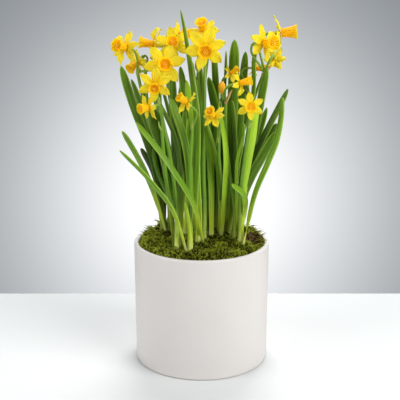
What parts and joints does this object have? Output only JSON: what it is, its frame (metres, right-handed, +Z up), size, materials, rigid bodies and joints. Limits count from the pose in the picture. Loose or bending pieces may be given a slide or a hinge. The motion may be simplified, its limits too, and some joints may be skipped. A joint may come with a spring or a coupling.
{
  "type": "potted miniature daffodil",
  "caption": "Miniature daffodils in flower, with strap leaves, growing from bulbs in a plain round ceramic pot with moss over the soil.",
  "frame": {"origin": "middle of the underside of the pot, on the surface it stands on", "axes": "+Z up, along the pot's axis; -Y is the front, the side that most flowers face; +X to the right seen from the front"},
  "size_m": [0.2159, 0.1825, 0.424],
  "materials": {
    "pot_ceramic": "matte, warm off-white, unglazed look",
    "soil": "damp potting soil",
    "moss": "live cushion moss, rough",
    "bulb_skin": "dry papery brown bulb skin",
    "leaf": "satin, grey-green leaf, paler towards its foot",
    "petal": "soft yellow petal, slightly see-through",
    "trumpet": "orange-yellow trumpet with a frilled mouth"
  },
  "bodies": {
    "root": {"pot": "pot_ceramic", "potting_soil": "soil", "moss_mat": "moss", "bulb_a": "bulb_skin", "bulb_b": "bulb_skin", "bulb_c": "bulb_skin", "bulb_d": "bulb_skin", "bulb_e": "bulb_skin", "bulb_f": "bulb_skin", "bulb_g": "bulb_skin", "bulb_h": "bulb_skin", "plant_a": "leaf", "plant_b": "leaf", "plant_c": "leaf", "plant_d": "leaf", "plant_e": "leaf", "plant_f": "leaf", "plant_g": "leaf", "plant_h": "leaf", "bloom_01_petals": "petal", "bloom_01_trumpet": "trumpet", "bloom_02_petals": "petal", "bloom_02_trumpet": "trumpet", "bloom_03_petals": "petal", "bloom_03_trumpet": "trumpet", "bloom_04_petals": "petal", "bloom_04_trumpet": "trumpet", "bloom_05_petals": "petal", "bloom_05_trumpet": "trumpet", "bloom_06_petals": "petal", "bloom_06_trumpet": "trumpet", "bloom_07_petals": "petal", "bloom_07_trumpet": "trumpet", "bloom_08_petals": "petal", "bloom_08_trumpet": "trumpet", "bloom_09_petals": "petal", "bloom_09_trumpet": "trumpet", "bloom_10_petals": "petal", "bloom_10_trumpet": "trumpet", "bloom_11_petals": "petal", "bloom_11_trumpet": "trumpet", "bloom_12_petals": "petal", "bloom_12_trumpet": "trumpet", "bloom_13_petals": "petal", "bloom_13_trumpet": "trumpet", "bloom_14_petals": "petal", "bloom_14_trumpet": "trumpet", "bloom_15_petals": "petal", "bloom_15_trumpet": "trumpet", "bloom_17_petals": "petal", "bloom_17_trumpet": "trumpet", "bloom_18_petals": "petal", "bloom_18_trumpet": "trumpet", "bloom_19_petals": "petal", "bloom_19_trumpet": "trumpet", "bloom_20_petals": "petal", "bloom_20_trumpet": "trumpet", "bud_16": "petal", "bud_21": "petal"}
  },
  "joints": []
}
